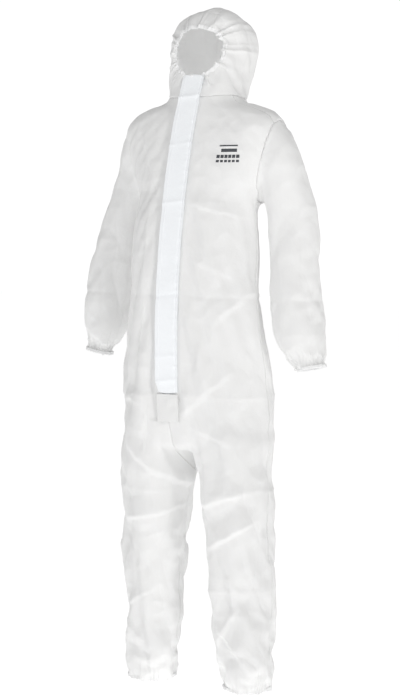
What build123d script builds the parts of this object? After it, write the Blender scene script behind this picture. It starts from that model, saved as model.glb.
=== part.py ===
"""Hooded one-piece protective coverall, modelled as it hangs on a wearer.

Millimetres. +Z is up and the wearer faces -Y, so the wearer's left is +X.
The origin is the centre of the neck seam.
Every fabric piece is a closed shell of the garment's true outer shape.
A panel that bends at the shoulder, the nape or the knee is two solids: the part
that stays on the torso, and the part that moves with the arm, hood or shin.
"""
import math
import os
from build123d import *

os.makedirs("parts", exist_ok=True)

# Driving dimensions
FABRIC = 2.0               # wall of every fabric shell
GAP = 1.0                  # room between fabric layers on different bodies
HEM_Z = -1600              # bottom hems
SEAM_Y = -20               # plane of the side and shoulder seams
ARMHOLE_X = 205            # plane of the armhole at the shoulder
ARMHOLE_HEIGHTS = (-275, 10)
ARMPIT_X = 158             # inner edge of the sleeve under the arm

# Front closure: the zip follows one arc down the middle of the front
ZIP_TOP = (-52, 56)        # y, z of the front edge under the chin
ZIP_BOTTOM = (-192, -790)  # y, z where the zip ends
ZIP_BULGE = 48             # how far the front stands out from the straight line
ZIP_DEPTH = 8              # the zip lies this far behind the fabric's outer face
CHANNEL_HALF = 22          # half width of the gap in the front that the zip fills

# Storm flap over the zip
FLAP_FREE_X = -33
FLAP_SEWN_X = 32
FLAP_TOP_Z = 58
FLAP_SPLIT_Z = -276        # below this line the flap peels open
FLAP_STANDOFF = 4
FLAP_THICKNESS = 1.5

# Shoulders and sleeves
SHOULDER = Vector(205, 21, -125)
CUFF = Vector(330, -2, -712)
DOME_RADIUS = 65
SLEEVE_STATIONS = ((0, 68), (150, 68), (300, 73), (430, 75), (540, 60), (601, 42))
CUFF_ELASTIC_RADIUS = 36
CUFF_ELASTIC_LENGTH = 12

# Knees, shins and ankles
KNEE = Vector(131, -38, -1085)
KNEE_BALL = 86
KNEE_LAP = 45              # how far the thigh reaches down inside the shin
SHIN_BACK_ANGLE = 62       # how far below the knee the back rim of the shin starts
ANKLE_ELASTIC_RADIUS = 63
ANKLE_ELASTIC_LENGTH = 12

# Hood
HOOD_HINGE = (134, 34)     # y, z of the nape, where the hood folds back
HOOD_FRONT_Y = -25
HOOD_CENTRE_HALF = 45      # half width of the centre panel
NAPE_RELIEF = 6.2          # radius cleared round the fold in the base, for the folding panel's edge
FACE_HALF_WIDTH = 78
FACE_HALF_HEIGHT = 60
FACE_Z = 112

# Outer sections of the torso: height, half width, back line (the front line is the zip's arc)
TORSO_STATIONS = (
    (0, 106, 130),
    (-25, 135, 128),
    (-60, 232, 124),
    (-125, 240, 118),
    (-200, 212, 113),
    (-275, 182, 109),
    (-400, 186, 106),
    (-530, 189, 106),
    (-650, 198, 122),
    (-760, 209, 138),
    (-850, 208, 138),
    (-880, 200, 130),
)
# Outer sections of the left thigh, shin and hood: height, centre x, centre y, half width, half depth
THIGH_STATIONS = (
    (-820, 108, -27, 85, 115),
    (-890, 103, -28, 99, 146),
    (-1000, 118, -33, 97, 122),
    (KNEE.Z, KNEE.X, KNEE.Y, KNEE_BALL, KNEE_BALL),
)
SHIN_STATIONS = (
    (-1115, 132, -38, 82, 82),
    (-1356, 143, -32, 78, 78),
    (-1540, 149, -27, 74, 74),
    (HEM_Z, 151, -25, 70, 70),
)
HOOD_STATIONS = (
    (0, 0, 30, 106, 100),
    (56, 0, 46, 110, 98),
    (110, 0, 45, 117, 135),
    (165, 0, 47, 108, 128),
    (210, 0, 50, 78, 98),
    (234, 0, 52, 45, 62),
    (244, 0, 54, 14, 20),
)

# The arc of the front, worked out from its ends and its bulge
chord_y = ZIP_TOP[0] - ZIP_BOTTOM[0]
chord_z = ZIP_TOP[1] - ZIP_BOTTOM[1]
chord = math.hypot(chord_y, chord_z)
FRONT_RADIUS = chord ** 2 / (8 * ZIP_BULGE) + ZIP_BULGE / 2
PIVOT_Y = (ZIP_TOP[0] + ZIP_BOTTOM[0]) / 2 + (FRONT_RADIUS - ZIP_BULGE) * chord_z / chord
PIVOT_Z = (ZIP_TOP[1] + ZIP_BOTTOM[1]) / 2 - (FRONT_RADIUS - ZIP_BULGE) * chord_y / chord
ZIP_RADIUS = FRONT_RADIUS - ZIP_DEPTH


def front_angle(z):
    """Angle in degrees, seen from the arc's centre, of the front at this height."""
    return math.degrees(math.asin((z - PIVOT_Z) / FRONT_RADIUS))


def front_y(z):
    """The y of the front line at this height."""
    return PIVOT_Y - math.sqrt(FRONT_RADIUS ** 2 - (z - PIVOT_Z) ** 2)


def elliptic_body(stations, inset):
    """A solid through level elliptical sections, drawn in by inset all round."""
    with BuildPart() as body:
        for z, x, y, half_width, half_depth in stations:
            with BuildSketch(Plane((x, y, z))):
                Circle(half_depth - inset)
                scale(by=((half_width - inset) / (half_depth - inset), 1, 1))
        loft(ruled=True)
    return body.part


def torso_body(inset):
    """The torso from the neck seam to the crotch."""
    stations = []
    for z, half_width, back_y in TORSO_STATIONS:
        centre_y = (front_y(z) + back_y) / 2
        stations.append((z, 0, centre_y, half_width, (back_y - front_y(z)) / 2))
    lowest = stations[-1]
    stations[-1] = (lowest[0] + inset, *lowest[1:])
    return elliptic_body(stations, inset)


def block(x_range, y_range, z_range):
    """A plain block between two corners, used for cutting."""
    with BuildPart() as body:
        with Locations(((x_range[0] + x_range[1]) / 2, (y_range[0] + y_range[1]) / 2,
                        (z_range[0] + z_range[1]) / 2)):
            Box(x_range[1] - x_range[0], y_range[1] - y_range[0], z_range[1] - z_range[0])
    return body.part


def front_strip(z_range, radii, x_range):
    """A strip that follows the arc of the front."""
    low = front_angle(z_range[0])
    high = front_angle(z_range[1])
    with BuildPart() as strip:
        with BuildSketch(Plane.YZ.offset(x_range[0])):
            with BuildLine():
                outer = CenterArc((PIVOT_Y, PIVOT_Z), radii[1], 180 - high, high - low)
                inner = CenterArc((PIVOT_Y, PIVOT_Z), radii[0], 180 - high, high - low)
                Line(outer @ 0, inner @ 0)
                Line(outer @ 1, inner @ 1)
            make_face()
        extrude(amount=x_range[1] - x_range[0])
    return strip.part


def write(piece, name):
    """Labels a finished piece and writes its file."""
    piece.label = name
    export_step(piece, f"parts/{name}.step")


# Garment shell: torso and thighs, with the lap inside each knee
FAR = 700
left_thigh = [elliptic_body(THIGH_STATIONS, inset) for inset in (0, FABRIC)]
torso = [torso_body(inset) for inset in (0, FABRIC)]
arm_plane = Plane(SHOULDER, x_dir=(0, 1, 0), z_dir=CUFF - SHOULDER)

with BuildPart() as armhole_room:
    with BuildSketch(arm_plane):
        Circle(SLEEVE_STATIONS[0][1] + 3)
    extrude(amount=320)

with BuildPart() as garment_space:
    add(torso[1])
    add(left_thigh[1])
    with Locations(KNEE):
        Sphere(KNEE_BALL - FABRIC)
    mirror(about=Plane.YZ)

with BuildPart() as garment_shell:
    add(torso[0])
    add(left_thigh[0])
    with Locations(KNEE):
        Sphere(KNEE_BALL)
    mirror(about=Plane.YZ)
    add(garment_space.part, mode=Mode.SUBTRACT)
    add(block((-FAR, FAR), (-FAR, FAR), (KNEE.Z - KNEE_LAP, 0)), mode=Mode.INTERSECT)
    add(block((ARMHOLE_X, FAR), (-FAR, FAR), ARMHOLE_HEIGHTS), mode=Mode.SUBTRACT)
    add(block((-FAR, -ARMHOLE_X), (-FAR, FAR), ARMHOLE_HEIGHTS), mode=Mode.SUBTRACT)
    add(armhole_room.part, mode=Mode.SUBTRACT)
    add(mirror(armhole_room.part, about=Plane.YZ, mode=Mode.PRIVATE), mode=Mode.SUBTRACT)
    add(block((-CHANNEL_HALF, CHANNEL_HALF), (-FAR, SEAM_Y), (ZIP_BOTTOM[1], 10)),
        mode=Mode.SUBTRACT)

gusset_zone = block((-40, 40), (-103, 47), (-885, -815))

with BuildPart() as crotch_gusset:
    add(garment_shell.part)
    add(gusset_zone, mode=Mode.INTERSECT)


def body_panel(x_range, y_range):
    """One of the four long panels, from the neck and armhole to the knee."""
    with BuildPart() as panel:
        add(garment_shell.part)
        add(block(x_range, y_range, (-FAR * 2, 10)), mode=Mode.INTERSECT)
        add(gusset_zone, mode=Mode.SUBTRACT)
    return panel.part


write(body_panel((0, FAR), (-FAR, SEAM_Y)), "left_front_panel")
write(body_panel((-FAR, 0), (-FAR, SEAM_Y)), "right_front_panel")
write(body_panel((0, FAR), (SEAM_Y, FAR)), "left_back_panel")
write(body_panel((-FAR, 0), (SEAM_Y, FAR)), "right_back_panel")
write(crotch_gusset.part, "crotch_gusset")

# Sleeve head: the top of the sleeve, sewn to the armhole
DOME_LAP = 30
with BuildPart() as left_sleeve_head:
    with Locations(SHOULDER):
        Sphere(DOME_RADIUS)
        Sphere(DOME_RADIUS - FABRIC, mode=Mode.SUBTRACT)
    add(block((ARMHOLE_X, FAR), (-FAR, FAR), (-FAR, FAR)), mode=Mode.INTERSECT)
    split(bisect_by=arm_plane.offset(DOME_LAP), keep=Keep.BOTTOM)

# Sleeve: the part that moves with the arm
with BuildPart() as sleeve_space:
    for distance, radius in SLEEVE_STATIONS:
        with BuildSketch(arm_plane.offset(distance)):
            Circle(radius - FABRIC)
    loft(ruled=True)

with BuildPart() as left_sleeve:
    for distance, radius in SLEEVE_STATIONS:
        with BuildSketch(arm_plane.offset(distance)):
            Circle(radius)
    loft(ruled=True)
    add(sleeve_space.part, mode=Mode.SUBTRACT)
    add(block((ARMPIT_X, FAR), (-FAR, FAR), (-2 * FAR, FAR)), mode=Mode.INTERSECT)

CUFF_INSET = 1
cuff_start = SLEEVE_STATIONS[-1][0] - CUFF_INSET - CUFF_ELASTIC_LENGTH
with BuildPart() as left_cuff_elastic:
    with BuildSketch(arm_plane.offset(cuff_start)):
        Circle(CUFF_ELASTIC_RADIUS + 3)
        Circle(CUFF_ELASTIC_RADIUS, mode=Mode.SUBTRACT)
    extrude(amount=CUFF_ELASTIC_LENGTH)

# Shin: the part of the leg that moves with the lower leg, in a front and a back panel
SOCKET = KNEE_BALL + GAP
back_rim = math.radians(SHIN_BACK_ANGLE)
rim_front = Vector(KNEE.X, KNEE.Y - SOCKET, KNEE.Z)
rim_back = Vector(KNEE.X, KNEE.Y + SOCKET * math.cos(back_rim), KNEE.Z - SOCKET * math.sin(back_rim))
rim_plane = Plane(rim_front, x_dir=(1, 0, 0), z_dir=Vector(1, 0, 0).cross(rim_back - rim_front))

with BuildPart() as shin_space:
    add(elliptic_body(SHIN_STATIONS, FABRIC))
    with Locations(KNEE):
        Sphere(SOCKET)

with BuildPart() as left_shin:
    add(elliptic_body(SHIN_STATIONS, 0))
    with Locations(KNEE):
        Sphere(SOCKET + FABRIC)
    add(shin_space.part, mode=Mode.SUBTRACT)
    split(bisect_by=rim_plane, keep=Keep.BOTTOM)


def shin_panel(y_range):
    """The front or the back of the left lower leg."""
    with BuildPart() as panel:
        add(left_shin.part)
        add(block((0, FAR), y_range, (-3 * FAR, 0)), mode=Mode.INTERSECT)
    return panel.part


with BuildPart() as left_ankle_elastic:
    with BuildSketch(Plane((SHIN_STATIONS[-1][1], SHIN_STATIONS[-1][2], HEM_Z + 1))):
        Circle(ANKLE_ELASTIC_RADIUS + 3)
        Circle(ANKLE_ELASTIC_RADIUS, mode=Mode.SUBTRACT)
    extrude(amount=ANKLE_ELASTIC_LENGTH)

# Pieces of the left side, and the same pieces mirrored for the right side
sided_pieces = {
    "sleeve_head": left_sleeve_head.part,
    "sleeve": left_sleeve.part,
    "cuff_elastic": left_cuff_elastic.part,
    "shin_front_panel": shin_panel((-FAR, KNEE.Y)),
    "shin_back_panel": shin_panel((KNEE.Y, FAR)),
    "ankle_elastic": left_ankle_elastic.part,
}
for name, piece in sided_pieces.items():
    write(piece, f"left_{name}")
    write(mirror(piece, about=Plane.YZ), f"right_{name}")

# Hood: a sewn base that stays on the neck, and the part that folds back
hinge = Vector(0, *HOOD_HINGE)
fold_plane = Plane(hinge, x_dir=(1, 0, 0),
                   z_dir=Vector(1, 0, 0).cross(hinge - Vector(0, *ZIP_TOP)))
if fold_plane.z_dir.Z < 0:
    fold_plane = Plane(hinge, x_dir=(1, 0, 0), z_dir=-fold_plane.z_dir)

with BuildPart() as hood_space:
    add(elliptic_body(HOOD_STATIONS[:-1] + ((HOOD_STATIONS[-1][0] - FABRIC, *HOOD_STATIONS[-1][1:]),),
                      FABRIC))

with BuildPart() as hood_base:
    add(elliptic_body(HOOD_STATIONS, 0))
    add(hood_space.part, mode=Mode.SUBTRACT)
    split(bisect_by=fold_plane, keep=Keep.BOTTOM)
    add(block((-CHANNEL_HALF, CHANNEL_HALF), (-FAR, SEAM_Y), (-10, 80)), mode=Mode.SUBTRACT)

base_back_zone = block((-HOOD_CENTRE_HALF, HOOD_CENTRE_HALF), (30, FAR), (-10, 80))

with BuildPart() as hood_base_back:
    add(hood_base.part)
    add(base_back_zone, mode=Mode.INTERSECT)
    with Locations(Location((0, *HOOD_HINGE), (0, 90, 0))):
        Cylinder(NAPE_RELIEF, 3 * HOOD_CENTRE_HALF, mode=Mode.SUBTRACT)
write(hood_base_back.part, "hood_base_back")


def base_side(x_range):
    """One side of the hood's sewn base."""
    with BuildPart() as side:
        add(hood_base.part)
        add(base_back_zone, mode=Mode.SUBTRACT)
        add(block(x_range, (-FAR, FAR), (-10, 80)), mode=Mode.INTERSECT)
    return side.part


write(base_side((0, FAR)), "hood_base_left")
write(base_side((-FAR, 0)), "hood_base_right")

with BuildPart() as hood_inside:
    add(hood_space.part)
    add(block((-FAR, FAR), (HOOD_FRONT_Y + FABRIC, FAR), (-FAR, FAR)), mode=Mode.INTERSECT)

with BuildPart() as face_hole:
    with BuildSketch(Plane((0, 0, FACE_Z), x_dir=(1, 0, 0), z_dir=(0, -1, 0))):
        Ellipse(FACE_HALF_WIDTH, FACE_HALF_HEIGHT)
    extrude(amount=100)

with BuildPart() as hood:
    add(elliptic_body(HOOD_STATIONS, 0))
    add(block((-FAR, FAR), (HOOD_FRONT_Y, FAR), (-FAR, FAR)), mode=Mode.INTERSECT)
    add(hood_inside.part, mode=Mode.SUBTRACT)
    add(face_hole.part, mode=Mode.SUBTRACT)
    split(bisect_by=fold_plane.offset(GAP), keep=Keep.TOP)


with BuildPart() as centre_zone:
    add(block((-HOOD_CENTRE_HALF, HOOD_CENTRE_HALF), (30, FAR), (-FAR, FAR)))
    add(block((-HOOD_CENTRE_HALF, HOOD_CENTRE_HALF), (-FAR, FAR), (FACE_Z, FAR)))

with BuildPart() as hood_centre_panel:
    add(hood.part)
    add(centre_zone.part, mode=Mode.INTERSECT)
write(hood_centre_panel.part, "hood_centre_panel")


def hood_side_panel(x_range):
    """The left or right panel of the hood."""
    with BuildPart() as panel:
        add(hood.part)
        add(centre_zone.part, mode=Mode.SUBTRACT)
        add(block(x_range, (-FAR, FAR), (-FAR, FAR)), mode=Mode.INTERSECT)
    return panel.part


write(hood_side_panel((0, FAR)), "hood_left_panel")
write(hood_side_panel((-FAR, 0)), "hood_right_panel")

with BuildPart() as face_elastic:
    with BuildSketch(Plane((0, HOOD_FRONT_Y - GAP, FACE_Z), x_dir=(1, 0, 0), z_dir=(0, -1, 0))):
        Ellipse(FACE_HALF_WIDTH + 5, FACE_HALF_HEIGHT + 5)
        Ellipse(FACE_HALF_WIDTH, FACE_HALF_HEIGHT, mode=Mode.SUBTRACT)
    extrude(amount=5)
    split(bisect_by=fold_plane.offset(GAP), keep=Keep.TOP)
write(face_elastic.part, "face_elastic")

# Neck label and waist elastic, inside the back
write(block((-22, 22), (117, 118.5), (-48, -8)), "neck_label")

with BuildPart() as waist_elastic:
    add(torso_body(FABRIC + GAP))
    add(torso_body(FABRIC + GAP + 1.5), mode=Mode.SUBTRACT)
    add(block((-150, 150), (15, FAR), (-540, -530)), mode=Mode.INTERSECT)
write(waist_elastic.part, "waist_elastic")

# Zip: two tapes, two rows of teeth, stops, slider and pull
TEETH_GAP = 0.8
TEETH_WIDTH = 2.5
TAPE_EDGE = CHANNEL_HALF - 1
ZIP_END_Z = ZIP_BOTTOM[1] + 15
ZIP_START_Z = ZIP_TOP[1] - 3
for side, sign in (("left", 1), ("right", -1)):
    teeth_x = sorted((sign * TEETH_GAP, sign * (TEETH_GAP + TEETH_WIDTH)))
    tape_x = sorted((sign * (TEETH_GAP + TEETH_WIDTH), sign * TAPE_EDGE))
    write(front_strip((ZIP_END_Z, ZIP_START_Z), (ZIP_RADIUS - 1.2, ZIP_RADIUS + 1.2), teeth_x),
          f"zip_teeth_{side}")
    write(front_strip((ZIP_END_Z - 10, ZIP_START_Z), (ZIP_RADIUS - 0.5, ZIP_RADIUS + 0.5), tape_x),
          f"zip_tape_{side}")

with BuildPart() as zip_bottom_stop:
    add(front_strip((ZIP_END_Z - 9, ZIP_END_Z - 1), (ZIP_RADIUS + 1.1, ZIP_RADIUS + 3), (-6, 6)))
    add(front_strip((ZIP_END_Z - 9, ZIP_END_Z - 1), (ZIP_RADIUS - 1, ZIP_RADIUS + 3), (-3, 3)))
write(zip_bottom_stop.part, "zip_bottom_stop")

SLIDER_Z = 34
SLIDER_LENGTH = 22
with BuildPart() as zip_top_stops:
    for x_low in (-8, 4):
        add(front_strip((SLIDER_Z + SLIDER_LENGTH / 2 + 3, ZIP_START_Z),
                        (ZIP_RADIUS + 0.5, ZIP_RADIUS + 2.2), (x_low, x_low + 4)))
write(zip_top_stops.part, "zip_top_stops")

slider_angle = math.radians(front_angle(SLIDER_Z))
slider_plane = Plane(
    (0, PIVOT_Y - ZIP_RADIUS * math.cos(slider_angle), PIVOT_Z + ZIP_RADIUS * math.sin(slider_angle)),
    x_dir=(1, 0, 0),
    z_dir=(0, -math.cos(slider_angle), math.sin(slider_angle)),
)
PLATE_OFFSET = 2.4
PLATE_THICKNESS = 1.6
PIN_Y = 6
PIN_HEIGHT = 5.4
PIN_RADIUS = 0.8
with BuildPart(slider_plane) as zip_slider:
    with Locations((0, 0, PLATE_OFFSET), (0, 0, -PLATE_OFFSET)):
        Box(14, SLIDER_LENGTH, PLATE_THICKNESS)
    with Locations((0, 8, 0)):
        Box(1, 4, 2 * PLATE_OFFSET)
    with Locations((0, PIN_Y, PIN_HEIGHT - 1)):
        Box(2, 3.4, 4.4)
    with Locations(Location((0, PIN_Y, PIN_HEIGHT), (0, 90, 0))):
        Cylinder(PIN_RADIUS, 7.4)
write(zip_slider.part, "zip_slider")

PULL_LENGTH = 26
with BuildPart(slider_plane) as zip_pull:
    with Locations((0, PIN_Y - PULL_LENGTH / 2, PIN_HEIGHT)):
        Box(7, PULL_LENGTH, 1.4)
    with Locations(Location((0, PIN_Y, PIN_HEIGHT), (0, 90, 0))):
        Cylinder(1.8, 7)
        Cylinder(PIN_RADIUS + 0.2, 8, mode=Mode.SUBTRACT)
    with Locations((0, PIN_Y - 0.5, PIN_HEIGHT)):
        Box(2.8, 6.4, 6, mode=Mode.SUBTRACT)
    with Locations(Location((0, PIN_Y - PULL_LENGTH + 5, PIN_HEIGHT))):
        Cylinder(2, 4, mode=Mode.SUBTRACT)
write(zip_pull.part, "zip_pull")

# Storm flap: the top stays down, the rest peels open about its sewn edge
flap_radii = (FRONT_RADIUS + FLAP_STANDOFF, FRONT_RADIUS + FLAP_STANDOFF + FLAP_THICKNESS)
flap_x = (FLAP_FREE_X, FLAP_SEWN_X)
write(front_strip((FLAP_SPLIT_Z + GAP, FLAP_TOP_Z), flap_radii, flap_x), "storm_flap_top")
write(front_strip((ZIP_BOTTOM[1], FLAP_SPLIT_Z), flap_radii, flap_x), "storm_flap")

PATCH_LENGTH = 76
write(front_strip((ZIP_BOTTOM[1] - PATCH_LENGTH, ZIP_BOTTOM[1] - 2),
                  (FRONT_RADIUS + 1, FRONT_RADIUS + 2.5), flap_x), "zip_bottom_patch")

# Joint axes and travel, for reference
flap_middle = math.radians((front_angle(ZIP_BOTTOM[1]) + front_angle(FLAP_SPLIT_Z)) / 2)
hinge_radius = flap_radii[1] + GAP
pin_radius = ZIP_RADIUS + PIN_HEIGHT
pin_angle = slider_angle + PIN_Y / pin_radius
print("zip arc centre y, z:", round(PIVOT_Y, 2), round(PIVOT_Z, 2), "radius", round(ZIP_RADIUS, 2))
print("zip travel, degrees:", round(front_angle(SLIDER_Z) - front_angle(ZIP_END_Z + 14), 2))
print("pull hinge y, z:", (slider_plane.origin + slider_plane.y_dir * PIN_Y + slider_plane.z_dir * PIN_HEIGHT))
print("flap hinge x, y, z:", FLAP_SEWN_X + GAP,
      round(PIVOT_Y - hinge_radius * math.cos(flap_middle), 2),
      round(PIVOT_Z + hinge_radius * math.sin(flap_middle), 2),
      "axis", (0, round(math.sin(flap_middle), 5), round(math.cos(flap_middle), 5)))
print("arm axis:", arm_plane.z_dir)
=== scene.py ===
"""Hooded disposable coverall in white nonwoven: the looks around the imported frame."""
import math
import bpy
import bmesh
import numpy as np
from mathutils import Matrix, Vector, noise


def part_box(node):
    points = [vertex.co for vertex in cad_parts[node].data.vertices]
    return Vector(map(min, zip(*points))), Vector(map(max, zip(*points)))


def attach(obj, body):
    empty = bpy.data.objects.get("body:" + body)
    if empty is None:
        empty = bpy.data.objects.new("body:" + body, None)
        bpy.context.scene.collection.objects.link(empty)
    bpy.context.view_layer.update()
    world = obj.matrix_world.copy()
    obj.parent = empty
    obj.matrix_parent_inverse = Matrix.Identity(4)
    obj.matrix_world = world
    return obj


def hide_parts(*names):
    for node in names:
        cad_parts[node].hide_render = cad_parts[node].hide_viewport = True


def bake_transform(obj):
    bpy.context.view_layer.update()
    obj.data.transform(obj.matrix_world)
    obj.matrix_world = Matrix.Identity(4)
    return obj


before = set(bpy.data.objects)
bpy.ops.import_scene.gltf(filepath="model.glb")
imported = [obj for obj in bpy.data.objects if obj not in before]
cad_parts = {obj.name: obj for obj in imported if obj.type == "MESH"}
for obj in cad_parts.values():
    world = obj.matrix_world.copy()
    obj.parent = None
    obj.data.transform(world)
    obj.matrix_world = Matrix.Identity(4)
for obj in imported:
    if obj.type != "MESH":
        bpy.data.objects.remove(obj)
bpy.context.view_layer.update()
rng = np.random.default_rng(7)

# ---------------------------------------------------------------- dimensions, metres
HEM_Z = -1.600
SHOULDER = Vector((0.205, 0.021, -0.125))
CUFF = Vector((0.330, -0.002, -0.712))
SEAM_Y = -0.020
CROTCH_Z = -0.880
ZIP_TOP = (-0.052, 0.056)
ZIP_BOTTOM = (-0.192, -0.790)
ZIP_BULGE = 0.048
FLAP_X = (-0.033, 0.032)
CHANNEL_HALF = 0.019
FACE_Z = 0.121
FACE_HALF_WIDTH = 0.076
FACE_HALF_HEIGHT = 0.068
CHIN_TAPER = 0.12          # how much narrower the face opening is at the chin
RIM_SET_BACK = 0.018       # how far the opening's sides lie behind its top and chin
HOOD_CENTRE_HALF = 0.045
VOXEL = 0.009
SEAM_DEPTH = 0.0007        # how far a seam lies below the fabric
CLOTH_THICKNESS = 0.0007
BODY_GROWTH = -0.003        # the cloth is cut this much larger than the worn shape
GATHER_GROWTH = -0.07      # and this much where an elastic gathers it

chord = Vector((ZIP_TOP[0] - ZIP_BOTTOM[0], ZIP_TOP[1] - ZIP_BOTTOM[1]))
FRONT_RADIUS = chord.length ** 2 / (8 * ZIP_BULGE) + ZIP_BULGE / 2
PIVOT_Y = (ZIP_TOP[0] + ZIP_BOTTOM[0]) / 2 + (FRONT_RADIUS - ZIP_BULGE) * chord.y / chord.length
PIVOT_Z = (ZIP_TOP[1] + ZIP_BOTTOM[1]) / 2 - (FRONT_RADIUS - ZIP_BULGE) * chord.x / chord.length

arm_axis = (CUFF - SHOULDER).normalized()
arm_length = (CUFF - SHOULDER).length


def front_y(z):
    """The y of the front's centre line at this height."""
    return PIVOT_Y - math.sqrt(FRONT_RADIUS ** 2 - (z - PIVOT_Z) ** 2)


# ---------------------------------------------------------------- the worn shape
def smooth_stations(stations, step=0.012):
    """Closely spaced stations on a smooth curve through the given ones."""
    s = np.array(stations, float)
    t = np.concatenate([[0], np.cumsum(np.linalg.norm(np.diff(s[:, :3], axis=0), axis=1))])
    samples = np.linspace(0, t[-1], max(8, int(t[-1] / step)))
    slopes = np.gradient(s, t, axis=0)
    found = []
    for x in samples:
        i = min(np.searchsorted(t, x, side="right") - 1, len(t) - 2)
        h = t[i + 1] - t[i]
        u = (x - t[i]) / h
        found.append((2 * u**3 - 3 * u**2 + 1) * s[i] + (u**3 - 2 * u**2 + u) * h * slopes[i]
                     + (3 * u**2 - 2 * u**3) * s[i + 1] + (u**3 - u**2) * h * slopes[i + 1])
    return np.array(found)


def add_tube(bm, stations, across=None, grow=0.0, sides=72):
    """Adds a closed tube of superelliptic rings: x, y, z, half width, half depth, exponent."""
    rings = []
    x_dir, y_dir = across or (Vector((1, 0, 0)), Vector((0, 1, 0)))
    for x, y, z, half_width, half_depth, power in smooth_stations(stations):
        ring = []
        for k in range(sides):
            a = 2 * math.pi * k / sides
            c, s = math.cos(a), math.sin(a)
            u = math.copysign(abs(c) ** (2 / power), c) * max(half_width + grow, 0.004)
            v = math.copysign(abs(s) ** (2 / power), s) * max(half_depth + grow, 0.004)
            ring.append(bm.verts.new(Vector((x, y, z)) + x_dir * u + y_dir * v))
        rings.append(ring)
    for low, high in zip(rings, rings[1:]):
        for k in range(sides):
            bm.faces.new((low[k], low[(k + 1) % sides], high[(k + 1) % sides], high[k]))
    bm.faces.new(list(reversed(rings[0])))
    bm.faces.new(rings[-1])


def level(z, half_width, front, back, power=2.15):
    """A torso or hood station from its front and back lines."""
    return (0, (front + back) / 2, z, half_width, (back - front) / 2, power)


TORSO = [
    level(0.010, 0.104, front_y(0.010), 0.130, 2.0),
    level(-0.015, 0.113, front_y(-0.015), 0.130, 2.0),
    level(-0.026, 0.168, front_y(-0.026), 0.127, 2.0),
    level(-0.040, 0.213, front_y(-0.040), 0.124, 2.1),
    level(-0.066, 0.238, front_y(-0.066), 0.121, 2.2),
    level(-0.135, 0.230, front_y(-0.135), 0.118, 2.3),
    level(-0.200, 0.208, front_y(-0.200), 0.113, 2.35),
    level(-0.275, 0.176, front_y(-0.275), 0.109, 2.3),
    level(-0.330, 0.178, front_y(-0.330), 0.107, 2.3),
    level(-0.400, 0.184, front_y(-0.400), 0.106, 2.25),
    level(-0.530, 0.186, front_y(-0.530), 0.104, 2.2),
    level(-0.650, 0.196, front_y(-0.650), 0.120, 2.2),
    level(-0.760, 0.212, front_y(-0.760), 0.136, 2.25),
    level(-0.850, 0.215, front_y(-0.850), 0.137, 2.3),
    level(-0.900, 0.213, front_y(-0.900), 0.132, 2.4),
    level(-0.935, 0.200, front_y(-0.900) + 0.012, 0.120, 2.4),
]
HOOD = [
    level(-0.02, 0.106, front_y(-0.02), 0.126, 2.1),
    level(0.004, 0.113, front_y(0.004), 0.127, 2.1),
    level(0.030, 0.120, front_y(0.03), 0.130, 2.15),
    level(0.060, 0.125, front_y(0.056) - 0.002, 0.138, 2.2),
    level(0.095, 0.127, -0.052, 0.148, 2.25),
    level(0.135, 0.127, -0.048, 0.155, 2.3),
    level(0.175, 0.119, -0.042, 0.152, 2.25),
    level(0.207, 0.101, -0.030, 0.138, 2.2),
    level(0.230, 0.072, -0.008, 0.112, 2.1),
    level(0.243, 0.030, 0.025, 0.080, 2.0),
]
LEG = [
    (0.106, -0.027, -0.830, 0.070, 0.100, 2.0),
    (0.106, -0.028, -0.900, 0.100, 0.140, 2.2),
    (0.110, -0.031, -0.980, 0.101, 0.127, 2.2),
    (0.124, -0.037, -1.085, 0.096, 0.106, 2.2),
    (0.136, -0.035, -1.220, 0.086, 0.093, 2.1),
    (0.143, -0.032, -1.356, 0.080, 0.085, 2.1),
    (0.148, -0.028, -1.500, 0.077, 0.080, 2.1),
    (0.150, -0.026, -1.575, 0.075, 0.077, 2.0),
    (0.151, -0.025, -1.625, 0.066, 0.067, 2.0),
]
SLEEVE = [(-0.060, 0.030), (-0.036, 0.054), (0.0, 0.066), (0.05, 0.069), (0.15, 0.067), (0.28, 0.069),
          (0.38, 0.072), (0.46, 0.073), (0.52, 0.067), (0.565, 0.054), (0.592, 0.044), (0.62, 0.040)]
ELBOW_OUT = 0.014          # the right sleeve bows outwards
UPPER_ARM_OUT = 0.018      # the left one bows out above the elbow and in below it
ELBOW_BACK = 0.010         # and a little backwards


def mirrored(stations):
    return [(-s[0], *s[1:]) for s in stations]


def fuller(stations):
    """The left leg stands a little further out and wider than the right."""
    return [(s[0] + 0.006, s[1], s[2], s[3] + 0.006, *s[4:]) for s in stations]


def elbow(side, t):
    """How far out a sleeve's middle lies from its straight axis, t of the way down."""
    t = min(max(t, 0), 1)
    return UPPER_ARM_OUT * math.sin(2 * math.pi * t) if side > 0 else ELBOW_OUT * math.sin(math.pi * t)


def sleeve_stations(side):
    found = []
    for distance, radius in SLEEVE:
        p = SHOULDER + arm_axis * distance
        bow = math.sin(math.pi * min(max(distance / arm_length, 0), 1))
        p.x += elbow(side, distance / arm_length)
        p.y += ELBOW_BACK * bow
        found.append((side * p.x, p.y, p.z, radius, radius * 1.02, 2.0))
    return found


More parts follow.
